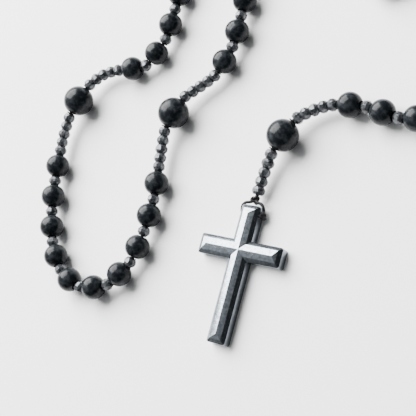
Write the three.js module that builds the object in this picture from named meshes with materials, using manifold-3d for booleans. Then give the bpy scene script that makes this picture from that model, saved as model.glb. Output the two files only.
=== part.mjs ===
// A five-decade rosary laid flat on a table. Millimetres, +Z up, z = 0 is the table.
import * as THREE from 'three';
import { mergeVertices } from 'three/addons/utils/BufferGeometryUtils.js';
import Module from 'manifold-3d';

const wasm = await Module();
wasm.setup();

// ---- driving dimensions ---------------------------------------------------------------
const BEAD_D = 8.0;              // ten round beads of a decade, and the three pendant beads
const LARGE_D = 10.2;            // the larger beads between the decades
const SPACER_D = 4.0;            // faceted spacer, across
const SPACER_L = 2.4;            // faceted spacer, along the cord
const SPACER_END = 0.66;         // its end faces across, and below its middle band along, as shares
const SPACER_BAND = 0.35;
const SPACER_SIDES = 6;
const SPACER_EASE = 0.1;         // extra bore radius, as a flat-sided bore is narrower
const BORE_R = 0.85;             // hole through every bead and spacer
const CORD_R = 0.55;             // stringing cord
const GAP = 0.3;                 // beside a spacer in a decade
const RUN_GAP = 0.6;             // between the spacers of a run, room for a small knot
const RUN_COUNT = 5;             // spacers on each side of a large bead
const DECADE_COUNT = 10;
const CUT = 0.15;                // half of the break in the cord at a joint
const BACK_SIDES = 6;            // sides of the pieces in the plain back strands
const HOLE_Y = -2.3;             // cross: side-to-side cord hole below its top end
const HOLE_Z = 1.9;              // its height above the table
const HOLE_R = 0.95;
const CROSS_H = 43.4;            // cross: height, width across the arms, width of a bar
const CROSS_W = 28.4;
const BAR_W = 6.3;
const ARM_Y = -14.3;             // centre line of the arms
const WALL_Z = 3.3;              // height of the side walls
const BREAK_Z = 4.25;            // height where the steep lower slope turns shallow
const BREAK_IN = 1.2;            // how far in from the wall that is
const RIDGE_Z = 4.75;            // height of the central ridge
const HIP = 2.75;                // length of the sloping end of each bar
const CORNER_R = 0.7;            // rounding of the outer corners
const LOOP_GAP = 0.95;           // from the side wall to the middle of the cord loop
const KNOT = [0.3, 1.9, 2.6];    // knot above the cross, and the stopper knot beside it
const KNOT_R = 1.15;
const CENTRE = [60.8, 48.9, 5.1];  // middle of the centre bead
const SHIFT = [4.26, -52.0, 0];   // puts the middle of the object over the origin

// ---- the cord's routes, as it lies on the table (x, y, z of the cord's middle) --------------
const FRONT = [
  [-73.8, 30.4, 5.1], [-75.4, 25.4, 5.1], [-77.6, 19.6, 4.6], [-78.3, 13.0, 4.1], [-77.6, 5.4, 4.0],
  [-76.6, -2.5, 4.0], [-74.7, -11.5, 4.0], [-71.5, -21.0, 4.0], [-66.4, -29.6, 4.0], [-58.4, -36.0, 4.0],
  [-49.0, -36.6, 4.0], [-40.6, -31.4, 4.0], [-36.2, -22.0, 4.0], [-35.1, -11.0, 4.0], [-35.2, -1.0, 4.0],
  [-36.2, 5.4, 4.0], [-37.3, 13.0, 4.1], [-37.6, 19.6, 4.6], [-36.6, 25.1, 5.1], [-34.4, 30.4, 5.1],
];
const LEFT_BACK = [
  [-73.8, 30.4, 5.1], [-69.8, 35.6, 4.2], [-62.0, 38.6, 4.0], [-53.4, 40.4, 4.0], [-48.4, 48.6, 4.0],
  [-47.6, 64.0, 4.0], [-47.0, 84.0, 4.0], [-43.5, 106.0, 4.0], [-33.0, 128.0, 4.0], [-14.0, 139.5, 4.1],
  [8.0, 144.5, 4.3], [30.0, 140.0, 4.0], [48.5, 128.0, 4.0], [61.5, 111.0, 4.0], [68.5, 90.0, 4.0],
  [69.0, 68.0, 4.1], [65.0, 53.4, 4.7],
];
const RIGHT_BACK = [
  [-34.4, 30.4, 5.1], [-30.4, 34.6, 4.2], [-24.8, 40.2, 4.0], [-21.6, 50.0, 4.0], [-21.8, 68.0, 4.0],
  [-21.4, 88.0, 4.0], [-18.4, 110.0, 4.0], [-8.0, 124.6, 4.0], [6.0, 125.0, 4.0], [13.8, 112.0, 4.2],
  [14.0, 97.0, 4.2], [14.4, 84.0, 4.0], [22.0, 74.2, 4.0], [32.0, 77.0, 4.0], [34.6, 90.0, 4.0],
  [37.6, 106.0, 4.0], [47.6, 108.0, 4.0], [53.6, 94.0, 4.0], [54.6, 76.0, 4.0], [54.6, 60.0, 4.2],
  [57.0, 53.8, 4.7],
];
const PENDANT = [
  [59.3, 44.0, 4.8], [54.2, 36.9, 4.1], [48.0, 33.4, 4.0], [42.0, 32.5, 4.0], [34.0, 34.0, 4.0],
  [25.6, 35.4, 4.0], [17.4, 34.2, 4.0], [10.6, 30.8, 4.4], [6.6, 26.9, 4.9], [4.5, 22.7, 5.1],
  [2.9, 17.6, 4.6], [1.8, 12.6, 3.8], [1.0, 7.6, 3.2], [0.6, 3.4, 2.7],
];

// ---- materials and small helpers ---------------------------------------------------------------
const STONE = { color: 0x0b0c10, roughness: 0.12, metalness: 0.0 };
const METAL = { color: 0x8a9098, roughness: 0.22, metalness: 1.0 };
const CORD = { color: 0x0a0a0c, roughness: 0.8, metalness: 0.0 };

const group = new THREE.Group();
group.name = 'rosary';

function addNode(name, geometry, finish) {
  const mesh = new THREE.Mesh(geometry, new THREE.MeshStandardMaterial(finish));
  mesh.name = name;
  geometry.translate(...SHIFT);
  group.add(mesh);
}

function toSolid(geometry) {
  const plain = geometry.clone();
  plain.deleteAttribute('normal');
  plain.deleteAttribute('uv');
  const g = mergeVertices(plain, 1e-4);
  return new wasm.Manifold(new wasm.Mesh({
    numProp: 3,
    vertProperties: new Float32Array(g.attributes.position.array),
    triVerts: new Uint32Array(g.index.array),
  }));
}

function toGeometry(solid) {
  const m = solid.getMesh();
  const g = new THREE.BufferGeometry();
  g.setAttribute('position', new THREE.BufferAttribute(new Float32Array(m.vertProperties), 3));
  g.setIndex(new THREE.BufferAttribute(new Uint32Array(m.triVerts), 1));
  g.computeVertexNormals();
  return g;
}

// Turns a shape made along +Y so that it runs along the slot from a to b.
function placed(geometry, a, b) {
  const dir = b.clone().sub(a).normalize();
  geometry.applyQuaternion(new THREE.Quaternion().setFromUnitVectors(new THREE.Vector3(0, 1, 0), dir));
  const mid = a.clone().add(b).multiplyScalar(0.5);
  return geometry.translate(mid.x, mid.y, mid.z);
}

// ---- beads, spacers and cord ---------------------------------------------------------------
// A bored ball: its profile closes on itself along the bore.
function bead(diameter) {
  const r = diameter / 2, rings = 6;
  const start = Math.asin(BORE_R / r);
  const profile = [];
  for (let i = 0; i <= rings; i += 1) {
    const t = -Math.PI / 2 + start + (i * (Math.PI - 2 * start)) / rings;
    profile.push(new THREE.Vector2(r * Math.cos(t), r * Math.sin(t)));
  }
  profile.push(profile[0].clone());
  return new THREE.LatheGeometry(profile, 12);
}

// A bored faceted spacer: two cut-off cones and a short middle band.
function spacer() {
  const r = SPACER_D / 2, h = SPACER_L / 2, inner = BORE_R + SPACER_EASE;
  const profile = [
    [inner, -h], [r * SPACER_END, -h], [r, -h * SPACER_BAND],
    [r, h * SPACER_BAND], [r * SPACER_END, h], [inner, h], [inner, -h],
  ];
  return new THREE.LatheGeometry(profile.map((p) => new THREE.Vector2(...p)), SPACER_SIDES);
}

// A solid of round sections strung along the cord: each ring has a middle, a direction and a radius.
function strung(rings, sides) {
  const profile = rings.map((ring, i) => new THREE.Vector2(ring.radius, i));
  const geometry = new THREE.LatheGeometry(profile, sides);
  const place = geometry.attributes.position;
  const up = new THREE.Vector3(0, 0, 1);
  const frames = rings.map(({ along }) => {
    const side = along.clone().cross(up).normalize();
    return { side, top: side.clone().cross(along) };
  });
  for (let i = 0; i < place.count; i += 1) {
    const j = Math.round(place.getY(i));
    const p = rings[j].at.clone()
      .addScaledVector(frames[j].side, place.getX(i)).addScaledVector(frames[j].top, place.getZ(i));
    place.setXYZ(i, p.x, p.y, p.z);
  }
  return geometry;
}

const direction = (a, b) => b.clone().sub(a).normalize();

// Closes a row of rings with a flat cap at each end.
function capped(rings) {
  const cap = (ring) => ({ ...ring, radius: 0 });
  return [cap(rings[0]), ...rings, cap(rings[rings.length - 1])];
}

// A plain cord through the given points.
function cordGeometry(points) {
  const last = points.length - 1;
  const rings = points.map((at, i) => ({
    at, radius: CORD_R, along: direction(points[Math.max(i - 1, 0)], points[Math.min(i + 1, last)]),
  }));
  return strung(capped(rings), 8);
}

const vector = (p) => new THREE.Vector3(...p);
const curveOf = (route) => new THREE.CatmullRomCurve3(route.map(vector), false, 'centripetal');

// Slot lengths of a piece along the cord, its share of the gaps included.
const slotLength = (kind) => ({
  bead: BEAD_D + GAP, large: LARGE_D + RUN_GAP, spacer: SPACER_L + GAP, run: SPACER_L + RUN_GAP,
})[kind];

// Lays the pieces of a strand end to end on a route and returns their end points.
function layOut(route, kinds) {
  const curve = curveOf(route);
  curve.arcLengthDivisions = 2000;
  const total = kinds.reduce((sum, k) => sum + slotLength(k), 0);
  const ends = [curve.getPointAt(0)];
  let run = 0;
  for (const kind of kinds) {
    run += slotLength(kind);
    ends.push(curve.getPointAt(Math.min(run / total, 1)));
  }
  kinds.forEach((kind, i) => {
    const rest = { bead: BEAD_D / 2, large: LARGE_D / 2 }[kind] ?? 0;
    for (const end of [ends[i], ends[i + 1]]) end.z = Math.max(end.z, rest);
  });
  return ends;
}

const repeat = (kind, n) => Array.from({ length: n }, () => kind);
const RUN = repeat('run', RUN_COUNT);
const decade = () => repeat(0, DECADE_COUNT * 2 - 1).map((_, i) => (i % 2 ? 'spacer' : 'bead'));

// The outline of a piece beside its own middle: [distance along the cord, radius] from end to end.
function outline(kind) {
  if (kind === 'spacer' || kind === 'run') {
    const h = SPACER_L / 2, r = SPACER_D / 2;
    return [[-h, CORD_R], [-h * SPACER_BAND, r], [h * SPACER_BAND, r], [h, CORD_R]];
  }
  const r = (kind === 'bead' ? BEAD_D : LARGE_D) / 2;
  const end = Math.asin(CORD_R / r);
  return [-1, -0.5, 0, 0.5, 1].map((share) => {
    const t = share * (Math.PI / 2 - end);
    return [r * Math.sin(t), r * Math.cos(t)];
  });
}

// A whole strand as one solid: the pieces and the cord between them.
function strandGeometry(ends, kinds, from, to) {
  const cord = cutCord(ends, from, to);
  const rings = [{ at: cord[0], radius: CORD_R, along: direction(cord[0], cord[1]) }];
  for (let i = from; i < to; i += 1) {
    const along = direction(ends[i], ends[i + 1]);
    const middle = ends[i].clone().lerp(ends[i + 1], 0.5);
    for (const [distance, radius] of outline(kinds[i])) {
      rings.push({ at: middle.clone().addScaledVector(along, distance), radius, along });
    }
  }
  const last = cord.length - 1;
  rings.push({ at: cord[last], radius: CORD_R, along: direction(cord[last - 1], cord[last]) });
  return strung(capped(rings), BACK_SIDES);
}

function addPiece(name, kind, a, b) {
  const round = kind === 'bead' || kind === 'large';
  const shape = round
    ? bead(kind === 'bead' ? BEAD_D : LARGE_D)
    : spacer();
  addNode(name, placed(shape, a, b), round ? STONE : METAL);
}

// The cord under pieces from..to of a strand, cut short at both ends.
function cutCord(ends, from, to) {
  const points = ends.slice(from, to + 1).map((p) => p.clone());
  const last = points.length - 1;
  points[0].lerp(points[1], CUT / points[0].distanceTo(points[1]));
  points[last].lerp(points[last - 1], CUT / points[last].distanceTo(points[last - 1]));
  return points;
}

// ---- the front: decade, its two large beads and the runs beside it -------------------------------
function addFront() {
  const kinds = ['large', ...RUN, ...decade(), ...RUN, 'large'];
  const ends = layOut(FRONT, kinds);
  const dec = 1 + RUN_COUNT;
  const tail = dec + DECADE_COUNT * 2 - 1;
  addPiece('left_large_bead', 'large', ends[0], ends[1]);
  addPiece('right_large_bead', 'large', ends[kinds.length - 1], ends[kinds.length]);
  for (let i = 0; i < RUN_COUNT; i += 1) {
    addPiece(`left_spacer_${i + 1}`, 'run', ends[1 + i], ends[2 + i]);
    addPiece(`right_spacer_${i + 1}`, 'run', ends[tail + i], ends[tail + i + 1]);
  }
  for (let i = 0; i < DECADE_COUNT * 2 - 1; i += 1) {
    const name = i % 2 ? `decade_spacer_${(i + 1) / 2}` : `decade_bead_${i / 2 + 1}`;
    addPiece(name, i % 2 ? 'spacer' : 'bead', ends[dec + i], ends[dec + i + 1]);
  }
  addNode('left_cord', cordGeometry(cutCord(ends, 0, dec)), CORD);
  addNode('decade_cord', cordGeometry(cutCord(ends, dec, tail)), CORD);
  addNode('right_cord', cordGeometry(cutCord(ends, tail, kinds.length)), CORD);
}

// ---- the back of the loop: two decades and a large bead on each side ------------------------------
function addBack(side, route) {
  const kinds = [...RUN, ...decade(), ...RUN, 'large', ...RUN, ...decade(), ...RUN];
  const ends = layOut(route, kinds);
  const half = 2 * RUN_COUNT + DECADE_COUNT * 2 - 1;
  addNode(`${side}_back_decade`, strandGeometry(ends, kinds, 0, half), STONE);
  addNode(`${side}_far_decade`, strandGeometry(ends, kinds, half, kinds.length), STONE);
}

// ---- the pendant -----------------------------------------------------------------------------
function addPendant() {
  const beads = ['bead', 'spacer', 'bead', 'spacer', 'bead'];
  const kinds = [...RUN, ...beads, ...RUN, 'large', ...RUN];
  const ends = layOut(PENDANT, kinds);
  const first = RUN_COUNT, upper = first + beads.length, large = upper + RUN_COUNT;
  addCentre(ends, kinds);
  for (let i = 0; i < beads.length; i += 1) {
    const name = i % 2 ? `pendant_spacer_${(i + 1) / 2}` : `pendant_bead_${i / 2 + 1}`;
    addPiece(name, beads[i], ends[first + i], ends[first + i + 1]);
  }
  for (let i = 0; i < RUN_COUNT; i += 1) {
    addPiece(`upper_spacer_${i + 1}`, 'run', ends[upper + i], ends[upper + i + 1]);
    addPiece(`lower_spacer_${i + 1}`, 'run', ends[large + 1 + i], ends[large + 2 + i]);
  }
  addPiece('pendant_large_bead', 'large', ends[large], ends[large + 1]);
  addNode('pendant_cord', cordGeometry(cutCord(ends, first, upper)), CORD);
  addNode('upper_cord', cordGeometry(cutCord(ends, upper, large)), CORD);
  addNode('large_bead_cord', cordGeometry(cutCord(ends, large, large + 1)), CORD);
  addCrossCord(ends.slice(large + 1));
}

// Centre: a large bead where both ends of the loop and the pendant meet, and the pendant's first run.
function addCentre(ends, kinds) {
  const middle = new THREE.Vector3(...CENTRE);
  const ball = toSolid(new THREE.SphereGeometry(LARGE_D / 2, 10, 6).rotateX(Math.PI / 2)
    .translate(...CENTRE));
  const lead = toSolid(cordGeometry([ends[0].clone().lerp(ends[1], 0.3), middle]));
  const run = toSolid(strandGeometry(ends, kinds, 0, RUN_COUNT));
  addNode('centre_bead', toGeometry(wasm.Manifold.union([ball, lead, run])), STONE);
}

// The pendant's last cord: through the lower run, a knot, then a loop through the cross.
function addCrossCord(ends) {
  const points = ends.map((p) => p.clone());
  points[0].lerp(points[1], CUT / points[0].distanceTo(points[1]));
  points.push(vector(KNOT));
  const side = BAR_W / 2 + LOOP_GAP;
  const loop = [
    KNOT, [-2.6, 1.65, 2.4], [-side, 0.5, 2.1], [-side, HOLE_Y, HOLE_Z],
    [side, HOLE_Y, HOLE_Z], [side, 0.5, 2.1], [2.7, 1.65, 2.4], KNOT,
  ];
  const knot = (at) => toSolid(new THREE.IcosahedronGeometry(KNOT_R, 1).translate(...at));
  const parts = [
    toSolid(cordGeometry(points)), toSolid(cordGeometry(loop.map(vector))),
    knot(KNOT), knot([side + CUT, HOLE_Y, HOLE_Z]),
  ];
  addNode('cross_cord', toGeometry(wasm.Manifold.union(parts)), CORD);
}

// ---- the cross ---------------------------------------------------------------------------------
function crossOutline() {
  const b = BAR_W / 2, w = CROSS_W / 2, bottom = -CROSS_H, r = CORNER_R;
  const up = ARM_Y + b, down = ARM_Y - b;
  const corners = [
    [b, bottom, r], [b, down, 0], [w, down, r], [w, up, r], [b, up, 0], [b, 0, r],
    [-b, 0, r], [-b, up, 0], [-w, up, r], [-w, down, r], [-b, down, 0], [-b, bottom, r],
  ];
  const points = [];
  corners.forEach(([x, y, radius], i) => {
    const here = new THREE.Vector2(x, y);
    if (radius === 0) { points.push(here); return; }
    const [px, py] = corners[(i + 11) % 12], [nx, ny] = corners[(i + 1) % 12];
    const inDir = new THREE.Vector2(px - x, py - y).normalize();
    const outDir = new THREE.Vector2(nx - x, ny - y).normalize();
    const centre = here.clone().addScaledVector(inDir, radius).addScaledVector(outDir, radius);
    for (let k = 0; k <= 3; k += 1) {
      const t = (k / 3) * (Math.PI / 2);
      points.push(centre.clone()
        .addScaledVector(outDir, -radius * Math.cos(t)).addScaledVector(inDir, -radius * Math.sin(t)));
    }
  });
  return points;
}

// A hip roof over one bar: steep slopes rise from the wall tops, then shallow ones to the ridge.
function roof(cx, cy, halfX, halfY) {
  const long = Math.max(halfX, halfY) - HIP;
  const [rx, ry] = halfX > halfY ? [long, 0] : [0, long];
  const ring = (inset, z) => [[-1, -1], [1, -1], [1, 1], [-1, 1]]
    .map(([sx, sy]) => [sx * (halfX - inset), sy * (halfY - inset), z]);
  const points = [
    ...ring(0, 0), ...ring(0, WALL_Z), ...ring(BREAK_IN, BREAK_Z), [-rx, -ry, RIDGE_Z], [rx, ry, RIDGE_Z],
  ].map(([x, y, z]) => [x + cx, y + cy, z]);
  return wasm.Manifold.hull(points);
}

function addCross() {
  const b = BAR_W / 2;
  const upright = roof(0, -CROSS_H / 2, b, CROSS_H / 2);
  const arms = roof(0, ARM_Y, CROSS_W / 2, b);
  const shape = new THREE.Shape(crossOutline());
  const blank = toSolid(new THREE.ExtrudeGeometry(shape, { depth: RIDGE_Z, bevelEnabled: false }));
  const hole = toSolid(new THREE.CylinderGeometry(HOLE_R, HOLE_R, BAR_W + 2, 12)
    .rotateZ(Math.PI / 2).translate(0, HOLE_Y, HOLE_Z));
  const solid = upright.add(arms).intersect(blank).subtract(hole);
  addNode('cross', toGeometry(solid), METAL);
}

addCross();
addPendant();
addFront();
addBack('left', LEFT_BACK);
addBack('right', RIGHT_BACK);

export default group;
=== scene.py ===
"""A five-decade rosary: black stone beads, faceted metallic spacers, knotted black cord whose knots between
the pieces also serve as painted shade and dark reflection in the gaps, polished cross.
"""

import logging
import math
import random
from bisect import bisect_left
from collections.abc import Callable
from dataclasses import dataclass, field
from enum import Enum

import bmesh
import bpy
from mathutils import Matrix, Vector


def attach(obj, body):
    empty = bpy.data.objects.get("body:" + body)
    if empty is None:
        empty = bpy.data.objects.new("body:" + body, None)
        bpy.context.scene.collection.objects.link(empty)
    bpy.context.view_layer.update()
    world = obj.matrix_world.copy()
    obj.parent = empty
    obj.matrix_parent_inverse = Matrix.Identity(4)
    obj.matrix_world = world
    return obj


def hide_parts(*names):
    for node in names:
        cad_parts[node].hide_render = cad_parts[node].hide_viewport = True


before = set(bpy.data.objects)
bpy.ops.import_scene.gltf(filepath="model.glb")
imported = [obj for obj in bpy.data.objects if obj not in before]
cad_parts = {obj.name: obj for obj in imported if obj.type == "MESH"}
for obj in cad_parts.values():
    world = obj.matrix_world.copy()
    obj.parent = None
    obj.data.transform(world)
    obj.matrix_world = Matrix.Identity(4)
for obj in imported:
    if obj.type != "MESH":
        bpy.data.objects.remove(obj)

Point = tuple[float, float, float]
Colour = tuple[float, float, float]
MeshPart = bmesh.types.BMVert | bmesh.types.BMEdge | bmesh.types.BMFace

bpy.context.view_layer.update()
LOG = logging.getLogger("rosary")

# Sizes and places are in millimetres, in the frame that the routes were laid out in.
MM = 0.001
SHIFT = Vector((4.26, -52.0, 0.0))
CURVE_STEPS = 2000
RANDOM = random.Random(7)

BEAD_D = 8.0
LARGE_D = 10.2
SPACER_D = 4.1
SPACER_L = 2.4
BORE_R = 0.8
CORD_R = 0.6
GAP = 0.3
RUN_GAP = 0.6
# Knots between the pieces: black cord, sized to fill the dark gaps, so they also serve as painted shade and
# dark reflection there.
GAP_KNOT_AND_SHADE_R = 0.96
KNOT_CORD_R = 0.42
GAP_KNOT_AND_SHADE_LENGTHS = {GAP: 0.50, RUN_GAP: 0.56}
GAP_KNOT_AND_SHADE_SEAT = 0.06
LOOP_CORD_R = 0.5
RUN_COUNT = 5
DECADE_COUNT = 10

FRONT = (
    (-73.8, 30.4, 5.1), (-75.4, 25.4, 5.1), (-77.6, 19.6, 4.6), (-78.3, 13.0, 4.1), (-77.6, 5.4, 4.0),
    (-76.6, -2.5, 4.0), (-74.7, -11.5, 4.0), (-71.5, -21.0, 4.0), (-66.4, -29.6, 4.0), (-58.4, -36.0, 4.0),
    (-49.0, -36.6, 4.0), (-40.6, -31.4, 4.0), (-36.2, -22.0, 4.0), (-35.1, -11.0, 4.0), (-35.2, -1.0, 4.0),
    (-36.2, 5.4, 4.0), (-37.3, 13.0, 4.1), (-37.6, 19.6, 4.6), (-36.6, 25.1, 5.1), (-34.4, 30.4, 5.1),
)
LEFT_BACK = (
    (-73.8, 30.4, 5.1), (-69.8, 35.6, 4.2), (-62.0, 38.6, 4.0), (-53.4, 40.4, 4.0), (-48.4, 48.6, 4.0),
    (-47.6, 64.0, 4.0), (-47.0, 84.0, 4.0), (-43.5, 106.0, 4.0), (-33.0, 128.0, 4.0), (-14.0, 139.5, 4.1),
    (8.0, 144.5, 4.3), (30.0, 140.0, 4.0), (48.5, 128.0, 4.0), (61.5, 111.0, 4.0), (68.5, 90.0, 4.0),
    (69.0, 68.0, 4.1), (65.0, 53.4, 4.7),
)
RIGHT_BACK = (
    (-34.4, 30.4, 5.1), (-30.4, 34.6, 4.2), (-24.8, 40.2, 4.0), (-21.6, 50.0, 4.0), (-21.8, 68.0, 4.0),
    (-21.4, 88.0, 4.0), (-18.4, 110.0, 4.0), (-8.0, 124.6, 4.0), (6.0, 125.0, 4.0), (13.8, 112.0, 4.2),
    (14.0, 97.0, 4.2), (14.4, 84.0, 4.0), (22.0, 74.2, 4.0), (32.0, 77.0, 4.0), (34.6, 90.0, 4.0),
    (37.6, 106.0, 4.0), (47.6, 108.0, 4.0), (53.6, 94.0, 4.0), (54.6, 76.0, 4.0), (54.6, 60.0, 4.2),
    (57.0, 53.8, 4.7),
)
PENDANT = (
    (59.3, 44.0, 4.8), (54.2, 36.9, 4.1), (48.0, 33.4, 4.0), (42.0, 32.5, 4.0), (34.0, 34.0, 4.0),
    (25.6, 35.4, 4.0), (17.4, 34.2, 4.0), (10.6, 30.8, 4.4), (6.6, 26.9, 4.9), (4.5, 22.7, 5.1),
    (2.9, 17.6, 4.6), (1.8, 12.6, 3.8), (1.0, 7.6, 3.2), (0.6, 3.4, 2.7),
)
CENTRE = (60.8, 48.9, 5.1)
CROSS_KNOT = (0.3, 1.9, 2.6)
HOLE_Y = -2.3
HOLE_Z = 1.9
BAR_W = 6.3


class Kind(Enum):
    """A piece strung on the cord, by its slot length along it in millimetres."""

    BEAD = BEAD_D + GAP
    LARGE = LARGE_D + RUN_GAP
    SPACER = SPACER_L + GAP
    RUN = SPACER_L + RUN_GAP

    @property
    def is_ball(self) -> bool:
        """Whether the piece is a round bead."""
        return self in (Kind.BEAD, Kind.LARGE)


RUN = (Kind.RUN,) * RUN_COUNT
DECADE = tuple(Kind.SPACER if i % 2 else Kind.BEAD for i in range(2 * DECADE_COUNT - 1))
PENDANT_BEADS = (Kind.BEAD, Kind.SPACER, Kind.BEAD, Kind.SPACER, Kind.BEAD)


def to_metres(point: Point | Vector) -> Vector:
    """Moves a point of the routes' frame, in millimetres, to the scene's frame, in metres."""
    return (Vector(point) + SHIFT) * MM


@dataclass(frozen=True)
class Route:
    """A smooth curve through listed points, with strung pieces laid end to end on it."""

    points: tuple[Point, ...]
    kinds: tuple[Kind, ...]

    def _at(self, t: float) -> Vector:
        """Point of the centripetal curve.

        Args:
            t: Place on the curve, from 0 to 1.

        Returns:
            The point, in millimetres.
        """
        pts = [Vector(p) for p in self.points]
        last = len(pts) - 1
        i = min(int(t * last), last - 1)
        w = t * last - i
        p1, p2 = pts[i], pts[i + 1]
        p0 = pts[i - 1] if i > 0 else p1 * 2 - p2
        p3 = pts[i + 2] if i + 2 <= last else p2 * 2 - p1
        d0, d1, d2 = ((b - a).length ** 0.5 for a, b in ((p0, p1), (p1, p2), (p2, p3)))
        t1 = ((p1 - p0) / d0 - (p2 - p0) / (d0 + d1) + (p2 - p1) / d1) * d1
        t2 = ((p2 - p1) / d1 - (p3 - p1) / (d1 + d2) + (p3 - p2) / d2) * d1
        c2 = (p2 - p1) * 3 - t1 * 2 - t2
        c3 = (p1 - p2) * 2 + t1 + t2
        return p1 + t1 * w + c2 * w * w + c3 * w * w * w

    def ends(self) -> list[Vector]:
        """End points of every slot.

        Returns:
            One point more than there are pieces, in metres.
        """
        samples = [self._at(i / CURVE_STEPS) for i in range(CURVE_STEPS + 1)]
        run = [0.0]
        for a, b in zip(samples, samples[1:]):
            run.append(run[-1] + (b - a).length)
        total = sum(kind.value for kind in self.kinds)
        found, reach = [samples[0].copy()], 0.0
        for kind in self.kinds:
            reach += kind.value
            wanted = run[-1] * min(reach / total, 1.0)
            i = max(1, min(bisect_left(run, wanted), CURVE_STEPS))
            share = (wanted - run[i - 1]) / (run[i] - run[i - 1])
            found.append(self._at((i - 1 + share) / CURVE_STEPS))
        for i, kind in enumerate(self.kinds):
            rest = {Kind.BEAD: BEAD_D / 2, Kind.LARGE: LARGE_D / 2}.get(kind, 0.0)
            for end in found[i : i + 2]:
                end.z = max(end.z, rest)
        return [to_metres(p) for p in found]


# ---- finishes ---------------------------------------------------------------------------


@dataclass(frozen=True)
class Shader:
    """A small helper that grows one material's node tree."""

    material: bpy.types.Material

    @staticmethod
    def start(name: str) -> "Shader":
        """A new material with only its output and surface shader."""
        material = bpy.data.materials.new(name)
        material.use_nodes = True
        return Shader(material)

    @property
    def surface(self) -> bpy.types.Node:
        """The surface shader."""
        return self.material.node_tree.nodes["Principled BSDF"]

    def node(self, kind: str, **values: object) -> bpy.types.Node:
        """Adds a node.

        Args:
            kind: The node's type name.
            values: Input sockets by name with spaces as underscores, or node settings.

        Returns:
            The node.
        """
        node = self.material.node_tree.nodes.new(kind)
        for key, value in values.items():
            socket = node.inputs.get(key.replace("_", " "))
            if socket is None:
                setattr(node, key, value)
            else:
                socket.default_value = value
        return node

    def link(self, a: bpy.types.NodeSocket, b: bpy.types.NodeSocket) -> None:
        """Links one socket to another."""
        self.material.node_tree.links.new(a, b)

    def set(self, **values: object) -> None:
        """Sets sockets of the surface shader by name."""
        for key, value in values.items():
            self.surface.inputs[key.replace("_", " ")].default_value = value

    def noise(self, scale: float, detail: float, stretch: Point = (1, 1, 1)) -> bpy.types.Node:
        """A noise pattern on the object's own coordinates.

        Args:
            scale: Fineness, per metre.
            detail: How many finer layers it has.
            stretch: Factor on the fineness along each axis.

        Returns:
            The noise node.
        """
        place = self.node("ShaderNodeTexCoord")
        turn = self.node("ShaderNodeMapping", Scale=stretch)
        noise = self.node("ShaderNodeTexNoise", Scale=scale, Detail=detail)
        self.link(place.outputs["Object"], turn.inputs["Vector"])
        self.link(turn.outputs["Vector"], noise.inputs["Vector"])
        return noise

    def ramp(self, source: bpy.types.NodeSocket, *stops: tuple[float, Colour]) -> None:
        """Colours the surface by a value.

        Args:
            source: The value.
            stops: Places from 0 to 1, each with its colour.
        """
        ramp = self.node("ShaderNodeValToRGB")
        points = ramp.color_ramp.elements
        while len(points) < len(stops):
            points.new(0.5)
        for point, (at, colour) in zip(points, stops):
            point.position = at
            point.color = (*colour, 1.0)
        self.link(source, ramp.inputs["Fac"])
        self.link(ramp.outputs["Color"], self.surface.inputs["Base Color"])

    def roughen(self, source: bpy.types.NodeSocket, low: float, high: float) -> None:
        """Varies the roughness by a pattern, most of which lies between 0.3 and 0.7.

        Args:
            source: The pattern.
            low: Roughness at 0.3.
            high: Roughness at 0.7.
        """
        node = self.node("ShaderNodeMapRange", From_Min=0.3, From_Max=0.7, To_Min=low, To_Max=high)
        self.link(source, node.inputs["Value"])
        self.link(node.outputs["Result"], self.surface.inputs["Roughness"])

    def bump(self, source: bpy.types.NodeSocket, distance: float, strength: float) -> None:
        """Raises the surface by a pattern.

        Args:
            source: The pattern.
            distance: Height, in metres.
            strength: Share of it, from 0 to 1.
        """
        bump = self.node("ShaderNodeBump", Strength=strength, Distance=distance)
        self.link(source, bump.inputs["Height"])
        self.link(bump.outputs["Normal"], self.surface.inputs["Normal"])


@dataclass(frozen=True)
class BlackStone:
    """Polished black stone with faint grey clouds and fine pits."""

    dark: Colour = (0.005, 0.0062, 0.0078)
    cloud: Colour = (0.023, 0.0265, 0.030)
    cloud_scale: float = 620.0
    pit_scale: float = 2600.0
    pit_depth: float = 0.02
    roughness: float = 0.17
    uneven: float = 0.10
    sheen: float = 0.11

    def make(self) -> bpy.types.Material:
        """Builds the material."""
        s = Shader.start("black_stone")
        clouds = s.noise(self.cloud_scale, detail=6.0).outputs["Fac"]
        s.ramp(clouds, (0.44, self.dark), (0.72, self.cloud))
        pits = s.noise(self.pit_scale, detail=3.0).outputs["Fac"]
        s.roughen(pits, self.roughness, self.roughness + self.uneven)
        s.bump(pits, self.pit_depth * MM, strength=0.25)
        s.set(Specular_IOR_Level=self.sheen, IOR=1.5)
        return s.material


@dataclass(frozen=True)
class Hematite:
    """Grey metallic stone; the same mineral is cut into the spacers and polished for the cross."""

    name: str
    dark: Colour
    light: Colour
    roughness: float
    scratch: Point
    metallic: float = 1.0
    cloud_scale: float = 900.0
    scratch_scale: float = 1500.0
    scratch_depth: float = 0.03
    uneven: float = 0.12

    def make(self) -> bpy.types.Material:
        """Builds the material."""
        s = Shader.start(self.name)
        clouds = s.noise(self.cloud_scale, detail=5.0).outputs["Fac"]
        s.ramp(clouds, (0.32, self.dark), (0.68, self.light))
        lines = s.noise(self.scratch_scale, detail=4.0, stretch=self.scratch).outputs["Fac"]
        s.roughen(lines, self.roughness, self.roughness + self.uneven)
        s.bump(lines, self.scratch_depth * MM, strength=0.22)
        s.set(Metallic=self.metallic)
        return s.material


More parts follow.
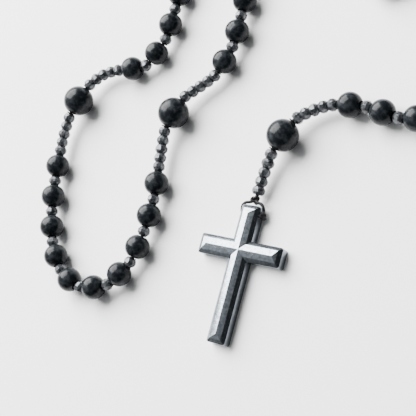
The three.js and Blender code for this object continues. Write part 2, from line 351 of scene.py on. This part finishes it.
@dataclass(frozen=True)
class WaxedCord:
    """Black twisted cord with a faint waxed sheen."""

    dark: Colour = (0.001, 0.001, 0.0015)
    light: Colour = (0.006, 0.006, 0.008)
    strand_scale: float = 900.0
    strand_depth: float = 0.08

    def make(self) -> bpy.types.Material:
        """Builds the material."""
        s = Shader.start("waxed_cord")
        place = s.node("ShaderNodeTexCoord")
        strands = s.node("ShaderNodeTexWave", Scale=self.strand_scale, Distortion=1.5, Detail=2.0)
        s.link(place.outputs["Object"], strands.inputs["Vector"])
        s.ramp(strands.outputs["Fac"], (0.2, self.dark), (0.9, self.light))
        s.bump(strands.outputs["Fac"], self.strand_depth * MM, strength=0.6)
        s.set(Roughness=0.5, Specular_IOR_Level=0.2)
        return s.material


CUT_HEMATITE = Hematite(
    name="cut_hematite",
    dark=(0.018, 0.020, 0.023),
    light=(0.095, 0.10, 0.11),
    roughness=0.2,
    scratch=(1.0, 1.0, 1.0),
    metallic=0.5,
)
POLISHED_HEMATITE = Hematite(
    name="polished_hematite",
    dark=(0.15, 0.168, 0.188),
    light=(0.25, 0.275, 0.305),
    roughness=0.13,
    scratch=(0.25, 2.4, 1.0),
)


@dataclass
class Finishes:
    """The object's four materials."""

    stone: bpy.types.Material = field(default_factory=BlackStone().make)
    spacer: bpy.types.Material = field(default_factory=CUT_HEMATITE.make)
    cross: bpy.types.Material = field(default_factory=POLISHED_HEMATITE.make)
    cord: bpy.types.Material = field(default_factory=WaxedCord().make)


# ---- the bench: shapes modelled once, then copied -----------------------------------------


def deselect_all() -> None:
    """Leaves no object selected."""
    bpy.ops.object.select_all(action="DESELECT")


def pick(select: Callable[[MeshPart], bool], mode: str = "VERT") -> None:
    """Selects parts of the mesh in edit mode by their place.

    Args:
        select: Says for a vertex, edge or face of the mesh whether it is wanted.
        mode: VERT, EDGE or FACE.
    """
    bpy.ops.mesh.select_mode(type=mode)
    bpy.ops.mesh.select_all(action="DESELECT")
    mesh = bmesh.from_edit_mesh(bpy.context.active_object.data)
    for part in {"VERT": mesh.verts, "EDGE": mesh.edges, "FACE": mesh.faces}[mode]:
        if select(part):
            part.select_set(True)
    bmesh.update_edit_mesh(bpy.context.active_object.data)


def bevel_edges(name: str, width: float, segments: int, angle: float) -> None:
    """Bevels the active object's edges and applies the result.

    Args:
        name: The modifier's name.
        width: In millimetres.
        segments: How many strips of faces it has.
        angle: Least angle of an edge, in degrees.
    """
    bevel = bpy.context.active_object.modifiers.new(name, "BEVEL")
    bevel.width, bevel.segments, bevel.angle_limit = width * MM, segments, math.radians(angle)
    bpy.ops.object.modifier_apply(modifier=name)


def take_mesh(name: str) -> bpy.types.Mesh:
    """Takes the active object's mesh and leaves out the object.

    Args:
        name: The mesh's new name.

    Returns:
        A copy of the mesh.
    """
    obj = bpy.context.active_object
    mesh = obj.data.copy()
    mesh.name = name
    bpy.data.objects.remove(obj, do_unlink=True)
    return mesh


@dataclass
class Bench:
    """Models each repeated shape once, along +Z about the origin, in metres."""

    ball_segments: int = 40
    ball_rings: int = 24
    rim: float = 0.12
    spacer_sides: int = 8
    spacer_end: float = 0.76
    spacer_grow: float = 1.07
    crown: float = 0.32
    worn: float = 0.05
    lobes: int = 5
    lobe_size: Point = (1.10, 1.10, 1.25)

    def ball(self, diameter: float) -> bpy.types.Mesh:
        """A polished bored ball.

        Args:
            diameter: Across, in millimetres.

        Returns:
            The mesh, with a real bore along Z and softened rims.
        """
        deselect_all()
        r = diameter / 2 * MM
        bpy.ops.mesh.primitive_uv_sphere_add(
            segments=self.ball_segments, ring_count=self.ball_rings, radius=r
        )
        bpy.ops.object.mode_set(mode="EDIT")
        top = r * math.cos(math.asin(BORE_R * MM / r)) - r * 0.02
        pick(lambda v: abs(v.co.z) > top)
        bpy.ops.mesh.delete(type="VERT")
        pick(lambda e: e.is_boundary, "EDGE")
        bpy.ops.mesh.bridge_edge_loops()
        bpy.ops.mesh.select_all(action="SELECT")
        bpy.ops.mesh.normals_make_consistent(inside=False)
        bpy.ops.object.mode_set(mode="OBJECT")
        bevel_edges("rim", self.rim, segments=2, angle=50)
        bpy.ops.object.shade_smooth_by_angle(angle=math.radians(35))
        return take_mesh("ball")

    def spacer(self) -> bpy.types.Mesh:
        """A faceted spacer: a small ring of cut facets with a bore.

        Returns:
            The mesh, flat-shaded with fine worn edges.
        """
        deselect_all()
        r, h = SPACER_D / 2 * MM, SPACER_L / 2 * MM * self.spacer_grow
        inner, end = BORE_R * MM, self.spacer_end
        bpy.ops.mesh.primitive_circle_add(vertices=self.spacer_sides, radius=inner, location=(0, 0, -h))
        bpy.ops.object.mode_set(mode="EDIT")
        turn = math.pi / self.spacer_sides
        crown = h * 2 * self.crown
        steps = (
            (0.0, r * end / inner, 0.0),
            (crown, 1 / end, turn),
            (h * 2 - crown * 2, 1.0, 0.0),
            (crown, end, turn),
            (0.0, inner / (r * end), 0.0),
        )
        height = -h
        bpy.ops.mesh.select_all(action="SELECT")
        for rise, grow, twist in steps:
            bpy.ops.mesh.extrude_edges_move(TRANSFORM_OT_translate={"value": (0, 0, rise)})
            height += rise
            bpy.ops.transform.resize(value=(grow, grow, 1), center_override=(0, 0, height))
            if twist:
                bpy.ops.transform.rotate(value=twist, orient_axis="Z", center_override=(0, 0, height))
        pick(lambda e: e.is_boundary, "EDGE")
        bpy.ops.mesh.bridge_edge_loops()
        bpy.ops.mesh.select_all(action="SELECT")
        bpy.ops.mesh.quads_convert_to_tris(quad_method="SHORTEST_DIAGONAL")
        bpy.ops.mesh.normals_make_consistent(inside=False)
        bpy.ops.object.mode_set(mode="OBJECT")
        bpy.ops.object.transform_apply(location=True, rotation=False, scale=False)
        bevel_edges("worn", self.worn, segments=1, angle=12)
        return take_mesh("spacer")

    def knot(self, thickness: float) -> bpy.types.Mesh:
        """A tight knot around the cord, seen edge on between two pieces; its dark body also stands in for
        painted shade and dark reflection in the gap.

        Args:
            thickness: Along the cord, in millimetres.

        Returns:
            The mesh, with the wraps of the cord showing as lobes.
        """
        deselect_all()
        minor = KNOT_CORD_R * MM
        bpy.ops.mesh.primitive_torus_add(
            major_radius=GAP_KNOT_AND_SHADE_R * MM, minor_radius=minor, major_segments=20, minor_segments=8
        )
        bpy.ops.object.mode_set(mode="EDIT")
        for lobe in range(self.lobes):
            angle = lobe * math.tau / self.lobes
            pick(lambda v: math.cos(math.atan2(v.co.y, v.co.x) - angle) > 0.97)
            bpy.ops.transform.resize(value=self.lobe_size)
        bpy.ops.mesh.select_all(action="SELECT")
        squash = thickness * MM / (2 * minor * self.lobe_size[2])
        bpy.ops.transform.resize(value=(1, 1, squash), center_override=(0, 0, 0))
        bpy.ops.object.mode_set(mode="OBJECT")
        bpy.ops.object.shade_smooth()
        return take_mesh("knot")


# ---- placing pieces --------------------------------------------------------------------------


def slot_matrix(a: Vector, b: Vector, spin: float = 0.0) -> Matrix:
    """Turns a shape made along +Z so that it lies in a slot.

    Args:
        a: Start of the slot.
        b: End of the slot.
        spin: Turn about the cord, in radians.

    Returns:
        The matrix.
    """
    turn = (b - a).to_track_quat("Z", "Y")
    return Matrix.Translation((a + b) / 2) @ turn.to_matrix().to_4x4() @ Matrix.Rotation(spin, 4, "Z")


def new_object(name: str, mesh: bpy.types.Mesh, material: bpy.types.Material) -> bpy.types.Object:
    """Puts a mesh in the scene.

    Args:
        name: The object's name.
        mesh: Its mesh.
        material: Its one finish.

    Returns:
        The object.
    """
    mesh.materials.clear()
    mesh.materials.append(material)
    obj = bpy.data.objects.new(name, mesh)
    bpy.context.scene.collection.objects.link(obj)
    return obj


def place_all(
    name: str, placed: list[tuple[bpy.types.Mesh, Matrix]], material: bpy.types.Material
) -> bpy.types.Object:
    """Copies shapes to their places and joins them into one piece.

    Args:
        name: The piece's name.
        placed: Each shape with its place.
        material: The finish.

    Returns:
        The piece, with its place in its mesh.
    """
    copies = []
    for shape, matrix in placed:
        mesh = shape.copy()
        mesh.transform(matrix)
        copies.append(new_object(name, mesh, material))
    if len(copies) > 1:
        deselect_all()
        for copy in copies:
            copy.select_set(True)
        bpy.context.view_layer.objects.active = copies[0]
        bpy.ops.object.join()
    copies[0].name = name
    return copies[0]


def settle(obj: bpy.types.Object, body: str, slot: str, *nodes: str) -> None:
    """Rides a piece on its body, hides the plain solids that it replaces, and logs the body that it rides
    on.

    Args:
        obj: The piece.
        body: The body that it moves with.
        slot: Name of a material slot; not used.
        nodes: The plain solids that it replaces, if any.
    """
    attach(obj, body)
    if nodes:
        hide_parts(*nodes)
    LOG.info("%s rides on %s", obj.name, body)


def cord_along(
    name: str, points: list[Vector], radius: float, material: bpy.types.Material
) -> bpy.types.Object:
    """A round cord along points, as a closed mesh.

    Args:
        name: The piece's name.
        points: The cord's middle line, in metres.
        radius: In millimetres.
        material: The finish.

    Returns:
        The piece.
    """
    curve = bpy.data.curves.new(name, "CURVE")
    curve.dimensions = "3D"
    curve.bevel_depth = radius * MM
    curve.bevel_resolution = 3
    curve.use_fill_caps = True
    line = curve.splines.new("POLY")
    line.points.add(len(points) - 1)
    for spot, place in zip(line.points, points):
        spot.co = (*place, 1.0)
    obj = bpy.data.objects.new(name, curve)
    bpy.context.scene.collection.objects.link(obj)
    deselect_all()
    obj.select_set(True)
    bpy.context.view_layer.objects.active = obj
    bpy.ops.object.convert(target="MESH")
    obj = bpy.context.active_object
    bpy.ops.object.mode_set(mode="EDIT")
    bpy.ops.mesh.select_all(action="SELECT")
    bpy.ops.mesh.remove_doubles(threshold=1e-6)
    bpy.ops.mesh.normals_make_consistent(inside=False)
    bpy.ops.object.mode_set(mode="OBJECT")
    bpy.ops.object.shade_smooth_by_angle(angle=math.radians(40))
    obj.data.materials.clear()
    obj.data.materials.append(material)
    return obj


def smooth_line(points: list[Vector], steps: int = 8) -> list[Vector]:
    """A finer line through the same points (Catmull-Rom).

    Args:
        points: The points.
        steps: How many pieces each stretch is cut into.

    Returns:
        The finer line's points.
    """
    fine = []
    for i in range(len(points) - 1):
        p1, p2 = points[i], points[i + 1]
        p0 = points[i - 1] if i else p1 * 2 - p2
        p3 = points[i + 2] if i + 2 < len(points) else p2 * 2 - p1
        for k in range(steps):
            t = k / steps
            bend = (p0 * 2 - p1 * 5 + p2 * 4 - p3) * t**2
            twist = (p1 * 3 - p0 - p2 * 3 + p3) * t**3
            fine.append((p1 * 2 + (p2 - p0) * t + bend + twist) / 2)
    return [*fine, points[-1]]


@dataclass
class Strings:
    """Everything strung on the cord: beads, spacers, knots that also serve as painted shade and dark
    reflection in the gaps, and the cord itself.
    """

    finishes: Finishes
    bench: Bench = field(default_factory=Bench)

    def __post_init__(self) -> None:
        """Models the shapes that repeat."""
        self.shapes = {
            Kind.BEAD: self.bench.ball(BEAD_D),
            Kind.LARGE: self.bench.ball(LARGE_D),
            Kind.SPACER: self.bench.spacer(),
        }
        self.shapes[Kind.RUN] = self.shapes[Kind.SPACER]
        # Knot meshes for the gaps between pieces: black cord that also stands in for painted shade and dark
        # reflection there.
        self.knots_and_shade = {gap: self.bench.knot(length) for gap, length in GAP_KNOT_AND_SHADE_LENGTHS.items()}

    def piece(self, name: str, kind: Kind, a: Vector, b: Vector, body: str, *nodes: str) -> None:
        """Places one bead or spacer that has a name of its own.

        Args:
            name: The piece's name.
            kind: What it is.
            a: Start of its slot.
            b: End of its slot.
            body: The body that it moves with.
            nodes: The plain solid that it replaces.
        """
        spin = RANDOM.uniform(0, math.tau)
        material = self.finishes.stone if kind.is_ball else self.finishes.spacer
        obj = place_all(name, [(self.shapes[kind], slot_matrix(a, b, spin))], material)
        settle(obj, body, "black_stone" if kind.is_ball else "hematite", *nodes)

    def tie(
        self, name: str, ends: list[Vector], kinds: tuple[Kind, ...], body: str, first: int, last: int
    ) -> None:
        """Ties a knot at each of some slot ends, facing along the cord; the knots also fill the gaps as
        painted shade and dark reflection.

        Args:
            name: The piece's name.
            ends: Slot ends of the whole string.
            kinds: Its pieces.
            body: The body.
            first: First slot end that has a knot.
            last: Last slot end that has one.
        """
        places = []
        for i in range(first, last + 1):
            before, after = kinds[max(i - 1, 0)], kinds[min(i, len(kinds) - 1)]
            wide = RUN_GAP if Kind.RUN in (before, after) else GAP
            reach = ends[min(i + 1, len(ends) - 1)] - ends[max(i - 1, 0)]
            step = reach.normalized() * MM
            shift = self.seat(before, after)
            spin = RANDOM.uniform(0, math.tau)
            middle = ends[i] + shift * step
            places.append((self.knots_and_shade[wide], slot_matrix(middle - step, middle + step, spin)))
        settle(place_all(name, places, self.finishes.cord), body, "cord")

    @staticmethod
    def seat(before: Kind, after: Kind) -> float:
        """How far along the cord a knot sits from the slot's end, nearer to a ball than to a spacer.

        Args:
            before: The piece before the knot.
            after: The piece after it.

        Returns:
            The way, in millimetres.
        """
        return GAP_KNOT_AND_SHADE_SEAT * (after.is_ball - before.is_ball)

    def stretch(
        self,
        name: str,
        ends: list[Vector],
        kinds: tuple[Kind, ...],
        body: str,
        first: int,
        last: int,
        node: str,
        knots_and_shade: tuple[int, int],
    ) -> None:
        """Places the cord of one body and the knots on it, which also stand in for painted shade and dark
        reflection in the gaps.

        Args:
            name: Start of the pieces' names.
            ends: Slot ends of the whole string.
            kinds: Its pieces.
            body: The body.
            first: Slot end where this cord starts.
            last: Slot end where it stops.
            node: The plain cord solid that it replaces, or nothing.
            knots_and_shade: First and last slot end that has a knot on this body.
        """
        cord = cord_along(f"{name}_line", ends[first : last + 1], CORD_R, self.finishes.cord)
        settle(cord, body, "cord", *([node] if node else []))
        self.tie(f"{name}_knots", ends, kinds, body, *knots_and_shade)


@dataclass
class FrontDecade:
    """The front of the loop: a decade, a large bead on each side and the runs between."""

    strings: Strings
    kinds: tuple[Kind, ...] = (Kind.LARGE, *RUN, *DECADE, *RUN, Kind.LARGE)

    def build(self) -> None:
        """Builds every piece."""
        ends = Route(FRONT, self.kinds).ends()
        s, kinds, total = self.strings, self.kinds, len(self.kinds)
        start = 1 + RUN_COUNT
        stop = start + len(DECADE)
        s.piece("large_ball_left", Kind.LARGE, ends[0], ends[1], "left_large", "left_large_bead")
        s.piece("large_ball_right", Kind.LARGE, ends[-2], ends[-1], "right_large", "right_large_bead")
        for i in range(RUN_COUNT):
            for side, at in (("left", 1 + i), ("right", stop + i)):
                name = f"{side}_spacer_{i + 1}"
                s.piece(f"cut_{name}", Kind.RUN, ends[at], ends[at + 1], "front_runs", name)
        for i, kind in enumerate(DECADE):
            at = start + i
            if kind.is_ball:
                number = i // 2 + 1
                node, body = f"decade_bead_{number}", f"bead_{number}"
            else:
                node, body = f"decade_spacer_{(i + 1) // 2}", "decade"
            s.piece(f"front_{node}", kind, ends[at], ends[at + 1], body, node)
        s.stretch("left_run", ends, kinds, "front_runs", 0, start, "left_cord", (1, start))
        s.stretch("decade", ends, kinds, "decade", start, stop, "decade_cord", (start + 1, stop))
        s.stretch("right_run", ends, kinds, "front_runs", stop, total, "right_cord", (stop + 1, total - 1))


@dataclass
class BackLoop:
    """The back of the loop, which lies still: two decades and a large bead on each side."""

    strings: Strings
    kinds: tuple[Kind, ...] = (*RUN, *DECADE, *RUN, Kind.LARGE, *RUN, *DECADE, *RUN)

    def side(self, side: str, points: tuple[Point, ...]) -> None:
        """Builds one side.

        Args:
            side: left or right.
            points: The side's route.
        """
        ends = Route(points, self.kinds).ends()
        half = 2 * RUN_COUNT + len(DECADE)
        parts = (("back", 0, half), ("far", half, len(self.kinds)))
        for part, first, last in parts:
            node = f"{side}_{part}_decade"
            slots = [(self.kinds[i], ends[i], ends[i + 1]) for i in range(first, last)]
            for word, ball, material, slot in (
                ("beads", True, self.strings.finishes.stone, "black_stone"),
                ("spacers", False, self.strings.finishes.spacer, "hematite"),
            ):
                placed = [
                    (self.strings.shapes[kind], slot_matrix(a, b, RANDOM.uniform(0, math.tau)))
                    for kind, a, b in slots
                    if kind.is_ball == ball
                ]
                obj = place_all(f"{node}_{word}", placed, material)
                settle(obj, "back_loop", slot, *([node] if ball else []))
            knots_and_shade = (first, last) if part == "back" else (first + 1, last)
            self.strings.stretch(node, ends, self.kinds, "back_loop", first, last, "", knots_and_shade)

    def build(self) -> None:
        """Builds both sides."""
        self.side("left", LEFT_BACK)
        self.side("right", RIGHT_BACK)


@dataclass
class Pendant:
    """The hanging part above the cross, from the centre bead down."""

    strings: Strings
    kinds: tuple[Kind, ...] = (*RUN, *PENDANT_BEADS, *RUN, Kind.LARGE, *RUN)
    sway_room: float = 0.25
    cord_reach: float = 1.3
    knot_reach: float = 1.25
    loop_side: float = BAR_W / 2 + 0.6

    def build(self) -> None:
        """Builds every piece."""
        ends = Route(PENDANT, self.kinds).ends()
        s, kinds = self.strings, self.kinds
        first = RUN_COUNT
        upper = first + len(PENDANT_BEADS)
        large = upper + RUN_COUNT
        self.centre(ends)
        for i, kind in enumerate(PENDANT_BEADS):
            node = f"pendant_bead_{i // 2 + 1}" if kind.is_ball else f"pendant_spacer_{(i + 1) // 2}"
            body = f"pendant_ball_{i // 2 + 1}" if kind.is_ball else "pendant_middle"
            s.piece(f"strung_{node}", kind, ends[first + i], ends[first + i + 1], body, node)
        for i in range(RUN_COUNT):
            for word, at in (("upper", upper + i), ("lower", large + 1 + i)):
                name = f"{word}_spacer_{i + 1}"
                swings = word == "upper" and i == RUN_COUNT - 1
                room = self.sway_room * MM if swings else 0.0
                back = (ends[at] - ends[at + 1]).normalized() * room
                a, b = ends[at] + back, ends[at + 1] + back
                s.piece(f"cut_{name}", Kind.RUN, a, b, f"{word}_run", name)
        below = large + 1
        s.piece(
            "large_ball_pendant", Kind.LARGE, ends[large], ends[below], "pendant_large", "pendant_large_bead"
        )
        for body, start, stop, node, knots_and_shade in (
            ("pendant_middle", first, upper, "pendant_cord", (first + 1, upper)),
            ("upper_run", upper, large, "upper_cord", (upper + 1, large)),
            ("large_link", large, below, "large_bead_cord", (below, below)),
        ):
            s.stretch(body, ends, kinds, body, start, stop, node, knots_and_shade)
        s.tie("lower_run_knots_and_shade", ends, kinds, "lower_run", below + 1, len(kinds) - 1)
        self.cross_cord(ends[below:])

    def centre(self, ends: list[Vector]) -> None:
        """The centre bead and the pendant's first run, which lie still with the back loop.

        Args:
            ends: Slot ends of the pendant.
        """
        s = self.strings
        middle = to_metres(CENTRE)
        out = (ends[0] - middle).normalized() * LARGE_D / 2 * MM
        slot = slot_matrix(middle - out, middle + out)
        ball = place_all("centre_ball", [(s.shapes[Kind.LARGE], slot)], s.finishes.stone)
        settle(ball, "back_loop", "black_stone", "centre_bead")
        slots = [
            (s.shapes[Kind.RUN], slot_matrix(ends[i], ends[i + 1], RANDOM.uniform(0, math.tau)))
            for i in range(RUN_COUNT)
        ]
        settle(place_all("centre_spacers", slots, s.finishes.spacer), "back_loop", "hematite")
        line = [middle - out * self.cord_reach, *ends]
        last = RUN_COUNT + 1
        s.stretch("centre", line, (Kind.LARGE, *self.kinds), "back_loop", 0, last, "", (1, last))
        self.junction(middle - out * self.knot_reach)

    def junction(self, knot: Vector) -> None:
        """The knot behind the centre bead, where the two ends of the loop come in.

        Args:
            knot: Its middle.
        """
        s = self.strings
        for side, points in (("left", LEFT_BACK), ("right", RIGHT_BACK)):
            start = to_metres(points[-1])
            way = [start, (start + knot) / 2, knot]
            settle(cord_along(f"junction_{side}", way, CORD_R, s.finishes.cord), "back_loop", "cord")
        self.tied_knot("junction_knot", knot, size=0.85, spin=0.5, tilt=0.3, body="back_loop")

    def tied_knot(self, name: str, middle: Vector, size: float, spin: float, tilt: float, body: str) -> None:
        """An overhand knot pulled tight.

        Args:
            name: The piece's name.
            middle: Its middle.
            size: Reach of the knot's loops, in millimetres.
            spin: Turn about Z, in radians.
            tilt: Turn about X, in radians.
            body: The body that it moves with.
        """
        turn = Matrix.Rotation(spin, 3, "Z") @ Matrix.Rotation(tilt, 3, "X")
        scale = size * MM / 3
        steps = 48
        points = []
        for i in range(steps + 1):
            t = i / steps * math.tau
            x = math.sin(t) + 2 * math.sin(2 * t)
            y = math.cos(t) - 2 * math.cos(2 * t)
            points.append(middle + turn @ (Vector((x, y, -math.sin(3 * t))) * scale))
        settle(cord_along(name, points, KNOT_CORD_R, self.strings.finishes.cord), body, "cord")

    def cross_cord(self, ends: list[Vector]) -> None:
        """The last cord: through the lower run, a knot, and a loop through the cross.

        Args:
            ends: Slot ends from the pendant's large bead down.
        """
        cord, side = self.strings.finishes.cord, self.loop_side
        top = to_metres(CROSS_KNOT)
        settle(cord_along("lower_run_line", [*ends, top], CORD_R, cord), "lower_run", "cord", "cross_cord")
        left = (
            CROSS_KNOT, (-1.2, 1.1, 2.5), (-2.7, 0.75, 2.4), (-side, -0.3, 2.1),
            (-side + 0.25, HOLE_Y + 0.2, HOLE_Z), (-side + 1.3, HOLE_Y, HOLE_Z), (0.0, HOLE_Y, HOLE_Z),
            (side - 1.3, HOLE_Y, HOLE_Z), (side - 0.1, HOLE_Y - 0.1, HOLE_Z + 0.2),
        )
        right = (
            CROSS_KNOT, (1.5, 1.2, 2.8), (2.8, 0.9, 2.9), (side, 0.0, 2.8),
            (side + 0.2, -0.9, 2.4), (side, HOLE_Y - 0.1, HOLE_Z + 0.2),
        )
        for word, points in (("left", left), ("right", right)):
            fine = [to_metres(p) for p in smooth_line([Vector(p) for p in points])]
            settle(cord_along(f"cross_loop_{word}", fine, LOOP_CORD_R, cord), "lower_run", "cord")
        self.tied_knot("cross_knot", top, size=1.25, spin=0.4, tilt=0.5, body="lower_run")
        end = to_metres((side + 0.15, HOLE_Y, HOLE_Z + 0.35))
        self.tied_knot("cross_end_knot", end, size=0.85, spin=1.2, tilt=1.1, body="lower_run")
        tail = [end, end + Vector((0.5, -0.5, -0.2)) * MM, end + Vector((1.0, -1.2, -0.5)) * MM]
        settle(cord_along("cross_cord_tail", tail, LOOP_CORD_R, cord), "lower_run", "cord")


@dataclass
class Cross:
    """The polished cross: flat back, plain walls, and slopes that meet in a soft ridge."""

    finishes: Finishes
    edge: float = 0.32
    steps: int = 4

    def build(self) -> None:
        """Softens the edges of the solid and gives it its finish."""
        deselect_all()
        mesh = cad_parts["cross"].data.copy()
        mesh.name = "cross"
        obj = new_object("polished_cross", mesh, self.finishes.cross)
        obj.select_set(True)
        bpy.context.view_layer.objects.active = obj
        bpy.ops.object.mode_set(mode="EDIT")
        bpy.ops.mesh.select_all(action="SELECT")
        bpy.ops.mesh.remove_doubles(threshold=1e-6)
        bpy.ops.mesh.dissolve_limited(angle_limit=math.radians(1))
        bpy.ops.mesh.normals_make_consistent(inside=False)
        bpy.ops.object.mode_set(mode="OBJECT")
        bevel_edges("soft", self.edge, self.steps, angle=16)
        bpy.ops.object.shade_smooth_by_angle(angle=math.radians(30))
        settle(obj, "cross_body", "hematite", "cross")


# ---- floor, light and camera -------------------------------------------------------------------


@dataclass(frozen=True)
class Studio:
    """A plain white floor, one broad window lamp, the surround and the camera."""

    target: Point = (-12.55, -54.70, 0.0)
    to_camera: Point = (0.50797, -0.14622, 0.84887)
    distance: float = 316.97
    roll: float = math.radians(15.3)
    lens: float = 86.54
    sensor: float = 36.0
    window: Point = (-720.0, 430.0, 700.0)
    window_size: float = 1150.0
    window_watts: float = 100.0
    bright_side: Point = (-0.85, 0.15, 0.45)
    levels: tuple[tuple[float, float], ...] = (
        (0.0, 0.05), (0.35, 0.20), (0.6, 0.42), (0.8, 0.62), (0.95, 1.0),
    )
    strength: float = 1.5
    floor_size: float = 4000.0
    floor_drop: float = 0.1
    floor_grey: float = 0.93

    def camera(self) -> None:
        """Sets the camera above the cross, leaning to one side."""
        data = bpy.data.cameras.new("camera")
        data.lens, data.sensor_width = self.lens, self.sensor
        data.clip_start = 0.01
        obj = bpy.data.objects.new("camera", data)
        bpy.context.scene.collection.objects.link(obj)
        back = Vector(self.to_camera).normalized()
        right = Vector((0, 1, 0)).cross(back).normalized()
        up = back.cross(right)
        turn = Matrix((right, up, back)).transposed().to_4x4()
        place = Vector(self.target) * MM + back * self.distance * MM
        obj.matrix_world = Matrix.Translation(place) @ turn @ Matrix.Rotation(self.roll, 4, "Z")
        bpy.context.scene.camera = obj

    def lamp(self) -> None:
        """A soft square lamp aimed at the target."""
        data = bpy.data.lights.new("window", "AREA")
        data.shape = "SQUARE"
        data.size = self.window_size * MM
        data.energy = self.window_watts
        obj = bpy.data.objects.new("window", data)
        bpy.context.scene.collection.objects.link(obj)
        obj.location = Vector(self.window) * MM
        aim = Vector(self.target) * MM - obj.location
        obj.rotation_euler = aim.to_track_quat("-Z", "Y").to_euler()

    def floor(self) -> None:
        """A broad white floor just under the rosary."""
        deselect_all()
        bpy.ops.mesh.primitive_plane_add(size=self.floor_size * MM, location=(0, 0, -self.floor_drop * MM))
        obj = bpy.context.active_object
        obj.name = "floor"
        s = Shader.start("white_floor")
        grey = self.floor_grey
        s.set(Base_Color=(grey, grey, grey, 1.0), Roughness=0.9, Specular_IOR_Level=0.1)
        obj.data.materials.append(s.material)

    def sky(self) -> None:
        """A surround that is bright on the window's side and dark behind the camera."""
        world = bpy.data.worlds.new("surround")
        world.use_nodes = True
        nodes, links = world.node_tree.nodes, world.node_tree.links
        place = nodes.new("ShaderNodeTexCoord")
        facing = nodes.new("ShaderNodeVectorMath")
        facing.operation = "DOT_PRODUCT"
        facing.inputs[1].default_value = Vector(self.bright_side).normalized()
        ramp = nodes.new("ShaderNodeValToRGB")
        points = ramp.color_ramp.elements
        while len(points) < len(self.levels):
            points.new(0.5)
        for point, (at, level) in zip(points, self.levels):
            point.position = at
            point.color = (level * 0.97, level * 0.985, level, 1.0)
        back = nodes["Background"]
        links.new(place.outputs["Generated"], facing.inputs[0])
        links.new(facing.outputs["Value"], ramp.inputs["Fac"])
        links.new(ramp.outputs["Color"], back.inputs["Color"])
        back.inputs["Strength"].default_value = self.strength
        bpy.context.scene.world = world

    def build(self) -> None:
        """Builds the whole studio."""
        self.camera()
        self.floor()
        self.sky()
        self.lamp()


def main() -> None:
    """Builds the rosary, one sub-assembly after another, and its studio."""
    logging.basicConfig(level=logging.INFO, format="%(name)s: %(message)s")
    Studio().build()
    finishes = Finishes()
    strings = Strings(finishes)
    FrontDecade(strings).build()
    BackLoop(strings).build()
    Pendant(strings).build()
    Cross(finishes).build()


if __name__ == "__main__":
    main()
